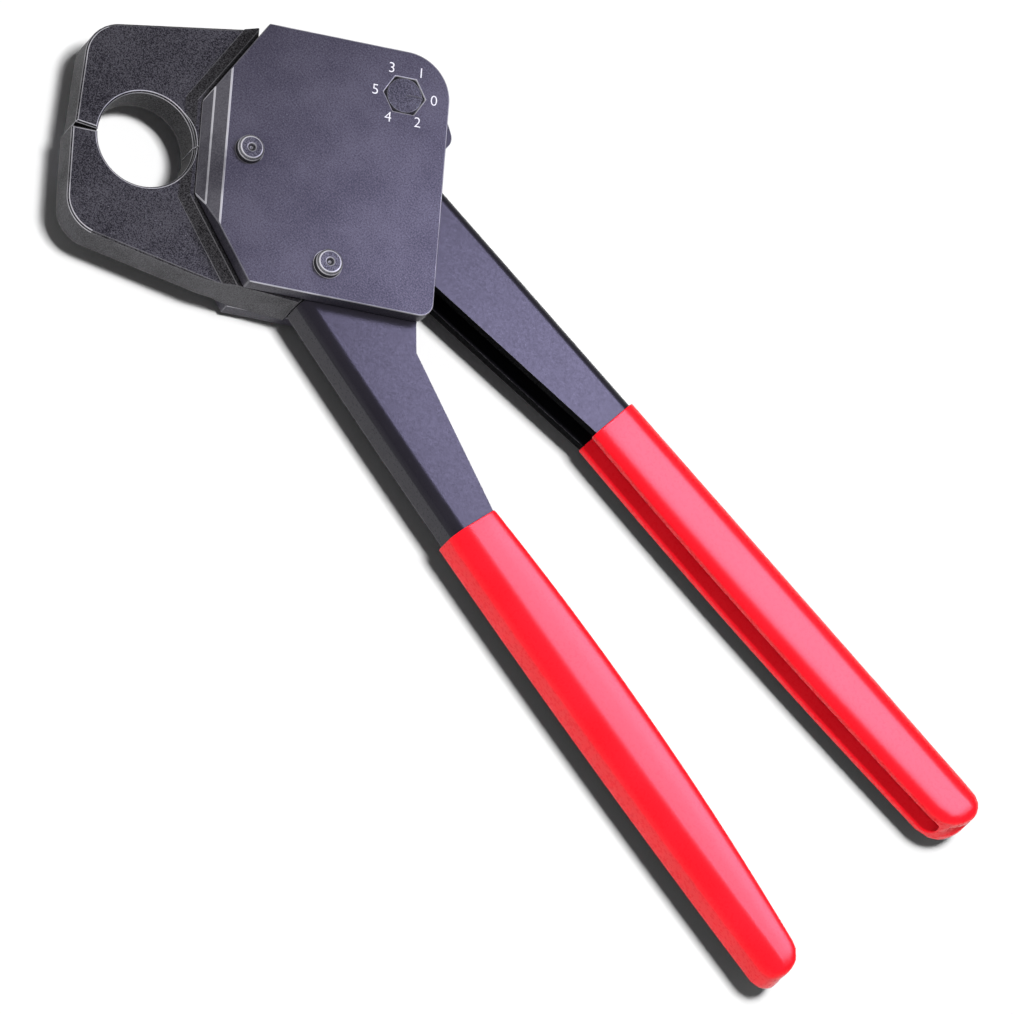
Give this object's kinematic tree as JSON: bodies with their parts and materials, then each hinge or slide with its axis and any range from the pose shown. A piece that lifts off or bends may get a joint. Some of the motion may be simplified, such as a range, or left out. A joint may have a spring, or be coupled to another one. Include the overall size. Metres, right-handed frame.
{
  "type": "pipe ring crimp tool",
  "caption": "Long-handled hand tool whose hinged jaws close a round bore over a pipe ring; a cam fork on the upper handle drives the upper jaw, with red vinyl grips.",
  "frame": {"origin": "centre of the closed jaw bore, half way through the tool's thickness", "axes": "+X from the bore along the handles, +Z along the bore, out of the side with the hex adjuster, +Y towards the moving handle"},
  "size_m": [0.3497, 0.1236, 0.0322],
  "materials": {
    "plate_steel": "bluish grey oxide, brushed",
    "jaw_steel": "dark forged oxide with bright worn edges",
    "handle_steel": "grey oxide sheet",
    "pin_steel": "ground steel",
    "bronze": "sintered",
    "red_vinyl": "dipped, semi-gloss",
    "ring_rubber": "matt"
  },
  "bodies": {
    "frame": {"front_plate": "plate_steel", "back_plate": "plate_steel", "lower_jaw": "jaw_steel", "jaw_pivot_pin": "pin_steel", "anchor_pin": "pin_steel", "fixed_handle": "handle_steel", "fixed_grip": "red_vinyl"},
    "jaw": {"upper_jaw": "jaw_steel", "jaw_bush": "bronze", "drive_pin": "pin_steel"},
    "rollers": {"drive_rollers": "pin_steel"},
    "handle": {"moving_handle": "handle_steel", "moving_grip": "red_vinyl", "handle_hub": "handle_steel", "handle_bush": "bronze"},
    "adjuster": {"adjuster_pin": "pin_steel", "adjuster_ring": "ring_rubber"}
  },
  "joints": [
    {"name": "handle_pivot", "type": "hinge", "parent": "frame", "child": "handle", "pos_m": [0.0355, 0.07453, 0], "axis": [0, 0, 1], "range_deg": [0, 70]},
    {"name": "jaw_pivot", "type": "hinge", "parent": "frame", "child": "jaw", "pos_m": [0.02135, 0.02135, 0], "axis": [0, 0, 1], "range_deg": [-42, 0]},
    {"name": "roller_spin", "type": "hinge", "parent": "jaw", "child": "rollers", "pos_m": [0.03146, 0.05265, 0], "axis": [0, 0, 1], "continuous": true},
    {"name": "adjuster_pull", "type": "slide", "parent": "frame", "child": "adjuster", "axis": [0, 0, 1], "range_m": [0, 0.006]}
  ],
  "couplings": [
    {"joint": "jaw_pivot", "follows": "handle_pivot", "ratio": -0.6}
  ]
}
